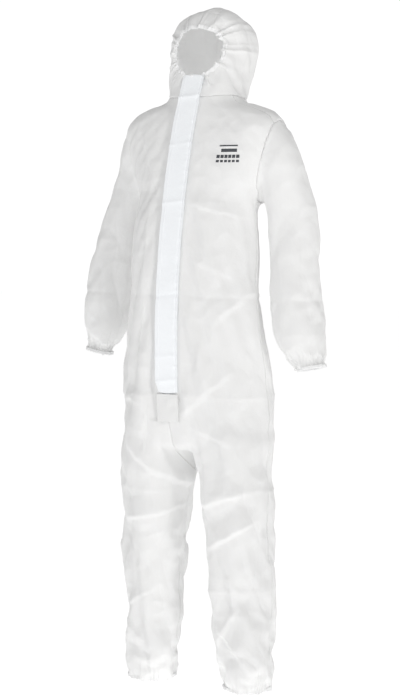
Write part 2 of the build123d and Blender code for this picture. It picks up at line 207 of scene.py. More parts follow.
def worn_shape(name, grow, voxel):
    """The whole garment's outer shape as one closed remeshed surface."""
    bm = bmesh.new()
    add_tube(bm, TORSO, grow=grow)
    add_tube(bm, HOOD, grow=grow)
    for side in (1, -1):
        add_tube(bm, fuller(LEG) if side > 0 else mirrored(LEG), grow=grow)
        x_dir = Vector((side * arm_axis.x, arm_axis.y, arm_axis.z)).cross(Vector((0, 1, 0))).normalized()
        add_tube(bm, sleeve_stations(side), across=(-x_dir * side, Vector((0, side, 0))), grow=grow)
    bmesh.ops.recalc_face_normals(bm, faces=bm.faces)
    mesh = bpy.data.meshes.new(name)
    bm.to_mesh(mesh)
    bm.free()
    obj = bpy.data.objects.new(name, mesh)
    bpy.context.scene.collection.objects.link(obj)
    remesh = obj.modifiers.new("union", "REMESH")
    remesh.mode = "VOXEL"
    remesh.voxel_size = voxel
    smooth = obj.modifiers.new("soften", "SMOOTH")
    smooth.factor = 0.5
    smooth.iterations = 7
    apply_modifiers(obj)
    return obj


def apply_modifiers(obj):
    depsgraph = bpy.context.evaluated_depsgraph_get()
    mesh = bpy.data.meshes.new_from_object(obj.evaluated_get(depsgraph))
    old = obj.data
    obj.modifiers.clear()
    obj.data = mesh
    if old.users == 0:
        bpy.data.meshes.remove(old)


def coordinates(mesh):
    co = np.empty(len(mesh.vertices) * 3)
    mesh.vertices.foreach_get("co", co)
    return co.reshape(-1, 3)


# ---------------------------------------------------------------- cutting the garment
ARMHOLE_TOP = (0.232, -0.060)      # x, z of the armhole seam on the shoulder
ARMHOLE_LOW = (0.181, -0.272)      # x, z under the arm
FRONT_BAND = 0.036                 # half width of the strip held flat by the zip and flap
seam = Vector((ARMHOLE_TOP[0] - ARMHOLE_LOW[0], ARMHOLE_TOP[1] - ARMHOLE_LOW[1])).normalized()
ARMHOLE_NORMAL = Vector((seam.y, 0, -seam.x))


def arm_x(z, side):
    """How far from the middle plane a sleeve's middle is at this height."""
    distance = (SHOULDER.z - z) / -arm_axis.z
    return SHOULDER.x + arm_axis.x * distance + elbow(side, distance / arm_length)


def arm_distance(co):
    """How far along the straight sleeve axis a point of either sleeve lies."""
    return (Vector((abs(co.x), co.y, co.z)) - SHOULDER).dot(arm_axis)


def in_sleeve(co):
    if co.z > -0.05 and abs(co.x) < 0.2:
        return False
    if co.z > ARMHOLE_LOW[1]:
        p = Vector((abs(co.x) - ARMHOLE_TOP[0], 0, co.z - ARMHOLE_TOP[1]))
        return p.dot(ARMHOLE_NORMAL) > 0
    return co.z > -0.75 and abs(co.x) > max(arm_x(co.z, co.x) - 0.074, ARMHOLE_LOW[0] + 0.002)


def cut(bm, point, normal, wanted, remove=False):
    """Cuts the faces whose middle is wanted along a plane, on clean snapped vertices."""
    faces = [f for f in bm.faces if wanted(f.calc_center_median())]
    verts = {v for f in faces for v in f.verts}
    for v in verts:
        distance = (v.co - point).dot(normal)
        if abs(distance) < VOXEL * 0.3:
            v.co -= normal * distance
    edges = {e for f in faces for e in f.edges}
    bmesh.ops.bisect_plane(bm, geom=list(verts) + list(edges) + faces, dist=0.0004,
                           plane_co=point, plane_no=normal, clear_outer=remove)


def rim(co):
    """1 on the outline of the face opening, less inside it and more outside."""
    height = (co[2] - FACE_Z) / FACE_HALF_HEIGHT
    narrowing = 1 + CHIN_TAPER * min(height, 0)
    return math.hypot(co[0] / (FACE_HALF_WIDTH * max(narrowing, 0.3)), height)


def cut_garment(obj):
    bm = bmesh.new()
    bm.from_mesh(obj.data)
    cut(bm, Vector((0, 0, HEM_Z)), Vector((0, 0, -1)), lambda c: c.z < HEM_Z + 0.05, remove=True)
    for side in (1, -1):
        axis = Vector((side * arm_axis.x, arm_axis.y, arm_axis.z))
        end = Vector((side * CUFF.x, CUFF.y, CUFF.z))
        cut(bm, end, axis, lambda c: side * c.x > 0.26 and c.z < -0.6, remove=True)
        normal = Vector((side * ARMHOLE_NORMAL.x, 0, ARMHOLE_NORMAL.z))
        point = Vector((side * ARMHOLE_TOP[0], 0, ARMHOLE_TOP[1]))
        cut(bm, point, normal, lambda c: side * c.x > 0.15 and ARMHOLE_LOW[1] - 0.02 < c.z < 0)
    body = lambda c: not in_sleeve(c)
    cut(bm, Vector((0, 0, 0)), Vector((1, 0, 0)), lambda c: c.z < 0.02)
    cut(bm, Vector((0, SEAM_Y, 0)), Vector((0, 1, 0)), lambda c: body(c) and c.z < 0.02)
    cut(bm, Vector((0, 0, 0)), Vector((0, 0, 1)), lambda c: abs(c.z) < 0.05)
    for side in (1, -1):
        cut(bm, Vector((side * HOOD_CENTRE_HALF, 0, 0)), Vector((1, 0, 0)), lambda c: c.z > -0.01)
    # the face opening, with its rim on one smooth outline
    for side in (1, -1):
        cut(bm, Vector((side * CHANNEL_HALF, 0, 0)), Vector((1, 0, 0)),
            lambda c: c.y < -0.02 and ZIP_BOTTOM[1] - 0.02 < c.z < 0.07)
    cut(bm, Vector((0, 0, ZIP_BOTTOM[1])), Vector((0, 0, 1)), lambda c: abs(c.x) < 0.06 and c.y < -0.1)
    front = lambda co: co.y < 0.03 and co.z > 0.02
    hole = [f for f in bm.faces if all(front(v.co) and rim(v.co) < 1.06 for v in f.verts)]
    bmesh.ops.delete(bm, geom=hole, context="FACES")
    for v in bm.verts:
        if v.is_boundary and front(v.co) and rim(v.co) < 1.4:
            scale_by = 1 / rim(v.co)
            v.co.x *= scale_by
            v.co.z = FACE_Z + (v.co.z - FACE_Z) * scale_by
            v.co.y += RIM_SET_BACK * (v.co.x / FACE_HALF_WIDTH) ** 2
    bm.to_mesh(obj.data)
    bm.free()


# ---------------------------------------------------------------- the drape, by cloth simulation
def drape(obj, wearer, frames):
    """Settles the oversize garment on the wearer's shape, with its elastics and front held."""
    mesh = obj.data
    co = coordinates(mesh)
    rims = np.zeros(len(co), bool)
    for e, uses in edge_uses(mesh):
        if uses == 1:
            rims[list(e)] = True
    front = np.array([abs(c[0]) < FRONT_BAND and c[1] < -0.02 and -0.87 < c[2] < 0.06 for c in co])
    pin = obj.vertex_groups.new(name="pin")
    for i in np.flatnonzero(rims):
        pin.add([int(i)], 1.0, "REPLACE")
    for i in np.flatnonzero(front & ~rims):
        pin.add([int(i)], 0.9 if abs(co[i][0]) < FRONT_BAND * 0.8 else 0.4, "REPLACE")
    full = obj.vertex_groups.new(name="fullness")
    for i, c in enumerate(co):
        v = Vector(c)
        near = 0.28 * min(max((-0.60 - v.z) / 0.3, 0), 1)
        if in_sleeve(v):
            near = 0.16
        if v.z > 0.02:
            near = 0.14
        body = near
        if v.z < HEM_Z + 0.10:
            near = 1 - (v.z - HEM_Z) / 0.10
        elif abs(v.x) > 0.25 and v.z < -0.5:
            near = 1 - (arm_length - arm_distance(v)) / 0.09
        elif v.z > 0.03 and v.y < 0.06:
            near = 1 - (rim(v) - 1) / 0.6
        near = max(near, body)
        if near > 0:
            full.add([i], min(near, 1.0), "REPLACE")
    collision = wearer.modifiers.new("collision", "COLLISION")
    wearer.collision.thickness_outer = 0.003
    wearer.collision.cloth_friction = 12
    cloth = obj.modifiers.new("cloth", "CLOTH")
    s = cloth.settings
    s.quality = 5
    s.mass = 0.12
    s.tension_stiffness = 25
    s.compression_stiffness = 25
    s.shear_stiffness = 12
    s.bending_model = "ANGULAR"
    s.bending_stiffness = 12
    s.tension_damping = 8
    s.compression_damping = 8
    s.shear_damping = 8
    s.bending_damping = 2
    s.air_damping = 3
    s.vertex_group_mass = "pin"
    s.pin_stiffness = 1.0
    s.use_dynamic_mesh = False
    s.effector_weights.gravity = 0.3
    s.shrink_min = BODY_GROWTH
    s.shrink_max = GATHER_GROWTH
    s.vertex_group_shrink = "fullness"
    cloth.collision_settings.collision_quality = 2
    cloth.collision_settings.distance_min = 0.003
    cloth.collision_settings.use_self_collision = False
    cloth.point_cache.frame_start = 1
    cloth.point_cache.frame_end = frames + 1
    scene = bpy.context.scene
    for f in range(1, frames + 1):
        scene.frame_set(f)
    apply_modifiers(obj)


def edge_uses(mesh):
    """Each edge's two vertices and how many faces use it."""
    uses = {}
    for p in mesh.polygons:
        for key in p.edge_keys:
            uses[key] = uses.get(key, 0) + 1
    return uses.items()


# ---------------------------------------------------------------- creases, facets and panels
FOLD_HEIGHTS = (-0.285, -0.530, -0.795, -1.050, -1.315)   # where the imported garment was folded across
FOLD_X = (-0.078, 0.088)                                 # and along
SIDES = (("left", 1), ("right", -1))


def ridge(distance, width):
    return math.exp(-abs(distance) / width)


def ramp(value, low, high):
    """0 at low, 1 at high, straight between."""
    return min(max((value - low) / (high - low), 0.0), 1.0)


def facets(p, size, seed):
    """Shallow flat-sided cells with sharp straight borders, as crumpling leaves them."""
    q = Vector((p.x, p.y, p.z * 0.5)) / size + Vector((seed, seed * 0.7, seed * 1.3))
    return (0.42 - noise.voronoi(q)[0][0]) * size


def crumple(p):
    """Height of the creases and facets of a point of the flat garment."""
    q = p + noise.noise_vector(p * 7.0) * 0.02
    torso = ramp(p.z, -0.80, -0.62) * (not in_sleeve(p)) * ramp(p.z, 0.03, -0.03)
    strength = 1.0 - 0.62 * torso - 0.25 * (p.z > 0.0)
    height = strength * (0.200 * facets(q, 0.130, 2.0) + 0.150 * facets(q, 0.050, 5.0))
    return height + 0.0010 * (1 - abs(noise.noise(q * 22.0 + Vector((7, 3, 1)))) * 3.0)


def tent(distance, inner, outer):
    """1 at the fold, falling straight to 0 this far on either side."""
    return max(0.0, 1 - (distance / outer if distance > 0 else -distance / inner))


def pleats(angle, count, seed):
    """Uneven gathers round an elastic, from -1 to 1."""
    drift = noise.noise(Vector((math.cos(angle) * 2.2, math.sin(angle) * 2.2, seed))) * 1.7
    size = 0.75 + 0.9 * noise.noise(Vector((math.cos(angle) * 3.1, math.sin(angle) * 3.1, seed + 9)))
    wave = math.sin(angle * count + drift * 3)
    return size * (1 - 2 * abs(wave) ** 0.8)


def gather_height(rest):
    """How far the gathers beside the elastics stand out at a point of the worn shape."""
    if rest.z > 0.03 and rest.y < 0.09:
        out = rim(rest)
        angle = math.atan2(rest.z - FACE_Z, rest.x)
        near = ramp(out, 2.2, 1.05) ** 1.5
        return near * (0.0056 * pleats(angle, 6, 1.0) + 0.0018 * pleats(angle, 15, 4.0))
    if rest.z < HEM_Z + 0.11:
        side = math.copysign(1, rest.x)
        angle = math.atan2(rest.y + 0.025, rest.x - side * 0.151)
        near = ramp(rest.z, HEM_Z + 0.10, HEM_Z + 0.008) ** 1.6
        return near * (0.0030 * pleats(angle, 9, 2.0 + side) + 0.0014 * pleats(angle, 21, 6.0 + side))
    if in_sleeve(rest) and rest.z < -0.55:
        side = math.copysign(1, rest.x)
        along = arm_distance(rest)
        angle = math.atan2(rest.y - CUFF.y, side * rest.x - CUFF.x)
        near = ramp(along, arm_length - 0.09, arm_length - 0.006) ** 1.6
        return near * (0.0026 * pleats(angle, 8, 3.0 + side) + 0.0012 * pleats(angle, 17, 8.0 + side))
    if rest.y > SEAM_Y and abs(rest.z + 0.535) < 0.07 and not in_sleeve(rest):
        near = ramp(abs(rest.z + 0.535), 0.07, 0.0) ** 2 * ramp(abs(rest.x), 0.19, 0.12)
        return near * 0.0035 * (1 - 2 * abs(math.sin(rest.x * 120 + 2 * noise.noise(rest * 14)))) - near * 0.006
    return 0.0


# folds of the front: x and z of both ends, height, width of the steep side, of the shallow side
FOLDS = (
    (-0.125, -0.936, 0.000, -1.050, 0.0085, 0.014, 0.060), (-0.074, -0.955, 0.000, -0.882, 0.0070, 0.012, 0.045),
    (0.078, -1.085, 0.210, -1.044, 0.0085, 0.012, 0.055), (0.093, -1.199, 0.210, -1.131, 0.0085, 0.012, 0.060),
    (0.085, -0.909, 0.108, -1.085, 0.0060, 0.012, 0.045), (0.066, -0.882, 0.163, -0.914, 0.0060, 0.012, 0.050),
    (-0.190, -1.139, -0.030, -1.099, 0.0065, 0.012, 0.050), (-0.126, -1.234, -0.106, -1.559, 0.0060, 0.012, 0.040),
    (0.112, -1.410, 0.200, -1.532, 0.0060, 0.010, 0.040), (0.098, -1.465, 0.175, -1.356, 0.0055, 0.010, 0.040),
    (0.050, -0.288, 0.170, -0.318, 0.0035, 0.006, 0.030), (0.125, -0.605, 0.192, -0.508, 0.0070, 0.012, 0.050),
    (0.024, -0.855, 0.165, -0.733, 0.0060, 0.014, 0.060), (-0.205, -0.790, -0.090, -0.815, 0.0050, 0.010, 0.040),
    (-0.153, -0.082, -0.045, -0.272, 0.0040, 0.012, 0.050), (0.060, -0.070, 0.150, -0.150, 0.0022, 0.010, 0.045),
    (-0.190, -1.380, -0.100, -1.330, 0.0050, 0.010, 0.040), (-0.120, -1.480, -0.190, -1.420, 0.0050, 0.010, 0.035),
    (0.150, -1.250, 0.165, -1.400, 0.0050, 0.012, 0.045), (-0.175, -0.960, -0.130, -1.090, 0.0055, 0.012, 0.045),
    (0.060, -0.430, 0.165, -0.480, 0.0030, 0.010, 0.050), (0.100, -0.620, 0.080, -0.760, 0.0035, 0.012, 0.050),
)


def fold_height(p):
    """How far the long straight folds of the front stand out at a point."""
    height = 0.0
    for x1, z1, x2, z2, depth, steep, shallow in FOLDS:
        dx, dz = x2 - x1, z2 - z1
        length = math.hypot(dx, dz)
        along = ((p.x - x1) * dx + (p.z - z1) * dz) / length
        if -0.02 < along < length + 0.02:
            away = ((p.x - x1) * dz - (p.z - z1) * dx) / length + 0.004 * noise.noise(p * 25)
            fade = ramp(along, -0.02, 0.03) * ramp(along, length + 0.02, length - 0.03)
            height += depth * fade * tent(away, shallow, steep)
    return height


def crease_height(rest):
    """How far the fabric stands out at a point, from its folds, facets and gathers."""
    deeper = 1 + 0.40 * ramp(rest.z, -0.84, -1.00)
    height = crumple(rest) * deeper
    for i, z in enumerate(FOLD_HEIGHTS):
        drift = 0.006 * noise.noise(Vector((rest.x * 9, rest.y * 9, i * 5.3)))
        strength = 0.35 + 1.1 * noise.noise(Vector((rest.x * 7 + 3 * i, rest.y * 7, z)))
        height += (0.0022 if i == 0 else 0.0030) * strength * ridge(rest.z - z - drift, 0.007) * (1 if i != 1 else -1)
    if rest.y < SEAM_Y + 0.05 and not in_sleeve(rest):
        fade = ramp(rest.z, -0.25, -0.33) * ramp(rest.z, -1.45, -1.30)
        left, right = FOLD_X[1], FOLD_X[0]
        height += fade * (0.0190 * tent(right - rest.x, 0.044, 0.100) + 0.0035 * tent(rest.x - left, 0.04, 0.06))
    if rest.y < SEAM_Y and not in_sleeve(rest) and rest.z < 0:
        height += fold_height(rest) * deeper
    if rest.y > 0 and rest.z < -0.02:
        height += 0.003 * ridge(abs(rest.x) - 0.082, 0.015)
    if rest.y < 0 and abs(rest.x) < FRONT_BAND + 0.02 and rest.z > -0.86:
        height *= ramp(abs(rest.x), FRONT_BAND, FRONT_BAND + 0.02)
    crotch = math.hypot(rest.x, rest.z - CROTCH_Z + 0.04)
    return height * ramp(crotch, 0.03, 0.10) + gather_height(rest)


def vectors(mesh, name):
    found = np.empty(len(mesh.vertices) * 3)
    mesh.attributes[name].data.foreach_get("vector", found)
    return found.reshape(-1, 3)


def near_elastic(c):
    return (c.z > 0.03 and c.y < 0.05 and rim(c) < 1.7 or c.z < HEM_Z + 0.08
            or in_sleeve(c) and arm_distance(c) > arm_length - 0.075)


def settle_details(obj):
    """Refines the draped cloth, straightens its seams and presses its creases in."""
    smooth = obj.modifiers.new("soften", "SMOOTH")
    smooth.factor = 0.5
    smooth.iterations = 4
    fine = obj.modifiers.new("fine", "SUBSURF")
    fine.levels = fine.render_levels = 1
    fine.boundary_smooth = "PRESERVE_CORNERS"
    apply_modifiers(obj)
    mesh = obj.data
    bm = bmesh.new()
    bm.from_mesh(mesh)
    layer = bm.verts.layers.float_vector["rest"]
    near = {v for v in bm.verts if near_elastic(v[layer])}
    edges = [e for e in bm.edges if e.verts[0] in near and e.verts[1] in near]
    bmesh.ops.subdivide_edges(bm, edges=edges, cuts=1, use_grid_fill=True, smooth=0.0)
    bm.to_mesh(mesh)
    bm.free()
    rest = vectors(mesh, "rest")
    labels = [panel_of(Vector(rest[list(p.vertices)].mean(axis=0))) for p in mesh.polygons]
    straighten_seams(mesh, labels)
    mesh.update()
    co = coordinates(mesh)
    normals = np.array([v.normal for v in mesh.vertices])
    heights = np.array([crease_height(Vector(r)) for r in rest])
    co = co + normals * heights[:, None]
    mesh.vertices.foreach_set("co", hang_arms(co, rest).ravel())
    mesh.update()
    return labels


def hang_arms(co, rest):
    """The left arm hangs a little lower than the right."""
    moved = co.copy()
    for i, r in enumerate(rest):
        if in_sleeve(Vector(r)):
            moved[i] += arm_shift(Vector(r))
    return moved


def arm_shift(p):
    t = ramp(arm_distance(p), 0.12, arm_length + 0.02)
    return np.array(ARM_HANG[p.x > 0]) * t ** 1.5


ARM_HANG = {True: (0.002, 0.0, -0.013), False: (-0.008, 0.0, 0.013)}


def straighten_seams(mesh, labels, rounds=14):
    """Smooths the lines where two panels meet, then the cloth next to them."""
    co = coordinates(mesh)
    of_edge = {}
    for p, label in zip(mesh.polygons, labels):
        for key in p.edge_keys:
            of_edge.setdefault(key, []).append(label)
    links = {}
    fixed = np.zeros(len(co), bool)
    for (a, b), found in of_edge.items():
        if len(found) == 1:
            fixed[[a, b]] = True
        elif found[0] != found[1]:
            links.setdefault(a, []).append(b)
            links.setdefault(b, []).append(a)
    line = [(v, n[0], n[1]) for v, n in links.items() if len(n) == 2 and not fixed[v]]
    v, a, b = np.array(line).T
    for _ in range(rounds):
        co[v] = 0.5 * co[v] + 0.25 * (co[a] + co[b])
    on_seam = np.zeros(len(co), bool)
    on_seam[list(links)] = True
    keys = np.array(list(of_edge))
    beside = np.zeros(len(co), bool)
    zone = on_seam.copy()
    for _ in range(3):
        touched = zone[keys].any(axis=1)
        zone[keys[touched].ravel()] = True
    beside = zone & ~on_seam & ~fixed
    for _ in range(5):
        total = np.zeros_like(co)
        count = np.zeros(len(co))
        for i, j in ((0, 1), (1, 0)):
            np.add.at(total, keys[:, i], co[keys[:, j]])
            np.add.at(count, keys[:, i], 1)
        mean = total / np.maximum(count, 1)[:, None]
        co[beside] = 0.4 * co[beside] + 0.6 * mean[beside]
    mesh.vertices.foreach_set("co", co.ravel())


def panel_of(c):
    """The panel that a face belongs to, from its middle on the worn shape, or None in the zip's gap."""
    side = "left" if c.x > 0 else "right"
    if in_sleeve(c):
        return f"{side}_sleeve_fabric"
    if abs(c.x) < CHANNEL_HALF and c.y < -0.02 and ZIP_BOTTOM[1] < c.z < 0.08:
        return None
    if c.z > 0:
        if abs(c.x) < HOOD_CENTRE_HALF and (c.y > 0.03 or c.z > FACE_Z):
            return "hood_centre_fabric"
        return f"hood_{side}_fabric"
    if abs(c.y + 0.025) / 0.11 + abs(c.z + 0.93) / 0.075 < 1 and abs(c.x) < 0.075:
        return "crotch_gusset_fabric"
    return f"{side}_{'front' if c.y < SEAM_Y else 'back'}_fabric"


def split_panels(obj, labels):
    """One object for each sewn panel, with its edges turned in at the seams."""
    mesh = obj.data
    groups = {}
    for p, label in zip(mesh.polygons, labels):
        if label:
            groups.setdefault(label, set()).add(p.index)
    found = {}
    for name, faces in sorted(groups.items()):
        bm = bmesh.new()
        bm.from_mesh(mesh)
        bm.faces.ensure_lookup_table()
        whole = {v: v.normal.copy() for v in bm.verts}
        bmesh.ops.delete(bm, geom=[f for f in bm.faces if f.index not in faces], context="FACES")
        for v in bm.verts:
            if v.is_boundary:
                v.co -= whole[v] * SEAM_DEPTH
        piece = new_piece(name, bm)
        thick = piece.modifiers.new("thickness", "SOLIDIFY")
        thick.thickness = CLOTH_THICKNESS
        thick.offset = -1
        apply_modifiers(piece)
        found[name] = piece
    bpy.data.objects.remove(obj)
    return found


def new_piece(name, bm):
    """A smooth-shaded object from a bmesh, which it frees."""
    bmesh.ops.recalc_face_normals(bm, faces=bm.faces) if not any(e.is_boundary for e in bm.edges) else None
    for f in bm.faces:
        f.smooth = True
    mesh = bpy.data.meshes.new(name)
    bm.to_mesh(mesh)
    bm.free()
    piece = bpy.data.objects.new(name, mesh)
    bpy.context.scene.collection.objects.link(piece)
    return piece


def sharpen(piece, degrees=40):
    """Smooth shading that stops at the piece's sharp edges."""
    piece.data.set_sharp_from_angle(angle=math.radians(degrees))


# ---------------------------------------------------------------- the front: flap, patch and zip
def on_front(x, z, out):
    """A point this far in front of the front's centre line, at this height along it."""
    y = front_y(z)
    radial = Vector((0, y - PIVOT_Y, z - PIVOT_Z)).normalized()
    return Vector((x, y, z)) + radial * out


def strip(name, xs, zs, out, thickness):
    """A closed strip over the front: out(x, z) is its outer face, thickness(x, z) what lies behind."""
    bm = bmesh.new()
    faces = []
    for back in (False, True):
        rows = [[bm.verts.new(on_front(x, z, out(x, z) - (thickness(x, z) if back else 0))) for x in xs] for z in zs]
        faces.append(rows)
    front, back = faces
    for i in range(len(zs) - 1):
        for j in range(len(xs) - 1):
            bm.faces.new((front[i][j], front[i][j + 1], front[i + 1][j + 1], front[i + 1][j]))
            bm.faces.new((back[i][j], back[i + 1][j], back[i + 1][j + 1], back[i][j + 1]))
    loop = ([(i, 0) for i in range(len(zs))] + [(len(zs) - 1, j) for j in range(1, len(xs))]
            + [(i, len(xs) - 1) for i in range(len(zs) - 2, -1, -1)] + [(0, j) for j in range(len(xs) - 2, 0, -1)])
    for (a, b), (c, d) in zip(loop, loop[1:] + loop[:1]):
        bm.faces.new((front[a][b], front[c][d], back[c][d], back[a][b]))
    return new_piece(name, bm)


def flap_out(x, z):
    """The storm flap's outer face: sewn down at its left, standing off a little at its free edge."""
    free = ramp(x, FLAP_X[1], FLAP_X[0])
    p = Vector((x * 9, z * 7, 3.3))
    out = 0.0040 + 0.0030 * free ** 1.5 + 0.0016 * free * noise.noise(p) + 0.0007 * noise.noise(p * 2.7)
    out -= 0.0022 * ridge(x - FLAP_X[1] + 0.0065, 0.0012)
    out += 0.0012 * ridge(x - FLAP_X[0] - 0.009, 0.0015) - 0.0006 * ridge(x - FLAP_X[0] - 0.012, 0.001)
    out += 0.0010 * ramp(x, FLAP_X[1] - 0.022, FLAP_X[1] - 0.004) * pleats(z * 16, 3, 5.0)
    for i, fold in enumerate((-0.002, -0.285, -0.530, -0.690, -0.130, -0.755)):
        out += (0.0040, 0.0024, -0.0018, 0.0018, 0.0016, 0.0026)[i] * ridge(z - fold - 0.12 * x, 0.005)
    return out


def make_flap():
    xs = list(np.concatenate([np.linspace(FLAP_X[0], FLAP_X[0] + 0.014, 10), np.linspace(FLAP_X[0] + 0.017, FLAP_X[1] - 0.011, 9),
                              np.linspace(FLAP_X[1] - 0.009, FLAP_X[1], 10)]))
    zs = list(np.linspace(0.057, -0.789, 260))

    def slanted(x, z):
        return flap_out(x, z)
    flap = strip("storm_flap_fabric", xs, zs, slanted, lambda x, z: 0.0013)
    for v in flap.data.vertices:
        x, y, z = v.co
        narrow = ramp(z, -0.06, 0.0)
        v.co.x += 0.004 * narrow * ramp(x, FLAP_X[1], FLAP_X[0]) + 0.0016 * noise.noise(Vector((0, 0, z * 11))) * ramp(x, FLAP_X[1], FLAP_X[0])
        low = ramp(z, -0.765, -0.789)
        v.co.z += 0.004 * low * (2 * ramp(x, FLAP_X[0], FLAP_X[1]) - 1) ** 2
        v.co.x += 0.009 * ramp(z, -0.752, -0.789) * ramp(x, FLAP_X[1], FLAP_X[0])
        if z > 0.045:
            v.co.z -= 0.006 * ramp(z, 0.045, 0.057) * abs(2 * ramp(x, FLAP_X[0], FLAP_X[1]) - 1) ** 3
    sharpen(flap, 50)
    return flap


def make_patch():
    xs = list(np.linspace(FLAP_X[0], FLAP_X[1], 27))
    zs = list(np.linspace(-0.7915, -0.866, 30))

    def out(x, z):
        inset = min(x - FLAP_X[0], FLAP_X[1] - x, -0.7915 - z, z + 0.866)
        return (0.0030 - 0.0011 * ridge(inset - 0.0045, 0.0009) + 0.0022 * noise.noise(Vector((x * 30, z * 30, 2)))
                + 0.0012 * (1 - 3 * abs(noise.noise(Vector((x * 22, z * 22, 9))))))
    patch = strip("zip_bottom_patch_fabric", xs, zs, out, lambda x, z: 0.0014)
    for v in patch.data.vertices:
        v.co.x += 0.0030 * noise.noise(Vector((3, 1, v.co.z * 28))) * (1 if v.co.x > 0 else -0.6)
    return patch


ZIP_DEPTH = -0.0075                 # the tape's face, behind the front's outer surface
TOOTH_PITCH = 0.0016


def make_zip():
    found = []
    for side, sign in SIDES:
        xs = list(np.linspace(0.0033, 0.0208, 9) * sign)
        if sign < 0:
            xs.reverse()
        zs = list(np.linspace(0.053, -0.788, 240))
        tape = strip(f"zip_tape_{side}_woven", xs, zs,
                     lambda x, z: ZIP_DEPTH + 0.0003 * (abs(x) < 0.007) + 0.0002 * ridge(abs(x) - 0.0130, 0.0006),
                     lambda x, z: 0.0009)
        found.append((tape, f"zip_tape_{side}"))
        bm = bmesh.new()
        z = 0.051 - (TOOTH_PITCH / 2 if sign < 0 else 0)
        while z > -0.774:
            ends = []
            for x, half, depth in ((-0.0006, 0.00030, 0.0006), (0.0004, 0.00046, 0.0009), (0.0026, 0.00034, 0.0009), (0.0034, 0.0002, 0.0004)):
                ring = []
                for dz, dn in ((half, 0), (half * 0.7, depth * 0.7), (0, depth), (-half * 0.7, depth * 0.7), (-half, 0), (0, -depth * 0.6)):
                    ring.append(bm.verts.new(on_front(sign * x, z + dz, ZIP_DEPTH + 0.0004 + dn)))
                ends.append(ring)
            for low, high in zip(ends, ends[1:]):
                for k in range(6):
                    bm.faces.new((low[k], low[(k + 1) % 6], high[(k + 1) % 6], high[k]))
            bm.faces.new(ends[0])
            bm.faces.new(list(reversed(ends[-1])))
            z -= TOOTH_PITCH
        found.append((new_piece(f"zip_coil_{side}", bm), f"zip_teeth_{side}"))
    return found


# ---------------------------------------------------------------- elastics and label
def band(name, point_at, profile, steps):
    """A closed band: point_at(angle, along, out) round a loop, profile its section as along, out."""
    bm = bmesh.new()
    rings = [[bm.verts.new(point_at(2 * math.pi * k / steps, along, out)) for along, out in profile]
             for k in range(steps)]
    count = len(profile)
    for k in range(steps):
        low, high = rings[k], rings[(k + 1) % steps]
        for j in range(count):
            bm.faces.new((low[j], low[(j + 1) % count], high[(j + 1) % count], high[j]))
    return new_piece(name, bm)


def hem_profile(length, thickness):
    """The section of a turned hem with its elastic inside, rounded at both edges."""
    half = length / 2
    outer = [(-half, 0.3), (-half * 0.85, 0.85), (-half * 0.4, 1.0), (0, 0.82), (half * 0.4, 1.0), (half * 0.85, 0.85), (half, 0.3)]
    inner = [(half * 0.9, -0.3), (0, -0.45), (-half * 0.9, -0.3)]
    return [(a, o * thickness) for a, o in outer + inner]


def make_elastics():
    found = []
    for side, sign in SIDES:
        axis = Vector((sign * arm_axis.x, arm_axis.y, arm_axis.z))
        u = axis.cross(Vector((0, 1, 0))).normalized()
        v = axis.cross(u)
        end = Vector((sign * CUFF.x, CUFF.y, CUFF.z))
        middle = end - axis * 0.0030 + Vector(ARM_HANG[sign > 0])

        def cuff(angle, along, out, seed=5.0 + sign):
            p = pleats(angle, 23, seed)
            radius = 0.0372 + out + 0.0011 * p * (1 if out > 0 else 0.4) + 0.0006 * pleats(angle, 9, seed + 2)
            lift = 0.0012 * noise.noise(Vector((math.cos(angle) * 3, math.sin(angle) * 3, seed)))
            return middle + axis * (along + lift) + (u * math.cos(angle) + v * math.sin(angle)) * radius
        piece = band(f"{side}_cuff_gather", cuff, hem_profile(0.0095, 0.0022), 280)
        found.append((piece, f"{side}_arm", f"{side}_cuff_elastic"))

        def ankle(angle, along, out, seed=11.0 + sign):
            p = pleats(angle, 27, seed)
            radius = 0.0655 + out + 0.0014 * p * (1 if out > 0 else 0.4) + 0.0012 * pleats(angle, 8, seed + 2)
            lift = 0.0016 * noise.noise(Vector((math.cos(angle) * 3, math.sin(angle) * 3, seed)))
            return Vector((sign * 0.151 + radius * math.cos(angle), -0.025 + radius * math.sin(angle),
                           HEM_Z + 0.0062 + along + lift))
        piece = band(f"{side}_ankle_gather", ankle, hem_profile(0.0105, 0.0024), 360)
        found.append((piece, f"{side}_shin", f"{side}_ankle_elastic"))
    return found


def make_face_band(fabric_rim):
    """The gathered casing round the face opening, on the rim of the draped hood."""
    steps = 380
    centre = Vector((0, 0, FACE_Z))
    angles = np.array([math.atan2(p.z - FACE_Z, p.x) for p in fabric_rim])
    order = np.argsort(angles)
    angles = angles[order]
    points = np.array([tuple(p) for p in fabric_rim])[order]

    def at(angle, along, out):
        a = (angle + math.pi) % (2 * math.pi) - math.pi
        p = Vector([np.interp(a, angles, points[:, k], period=2 * math.pi) for k in range(3)])
        outward = Vector((p.x, 0, p.z - FACE_Z)).normalized()
        pleat = pleats(angle, 19, 3.0)
        wave = 0.0010 * pleats(angle, 12, 8.0)
        face_out = Vector((0, -1, 0))
        return p + outward * (along + 0.0015 * noise.noise(Vector((math.cos(angle) * 5, math.sin(angle) * 5, 1)))) + \
            face_out * (out + 0.0016 * pleat * (1 if out > 0 else 0.4) + wave + 0.0015) + Vector((0, 0.35, 0)) * along
    return band("face_gather", at, hem_profile(0.0120, 0.0020), steps)


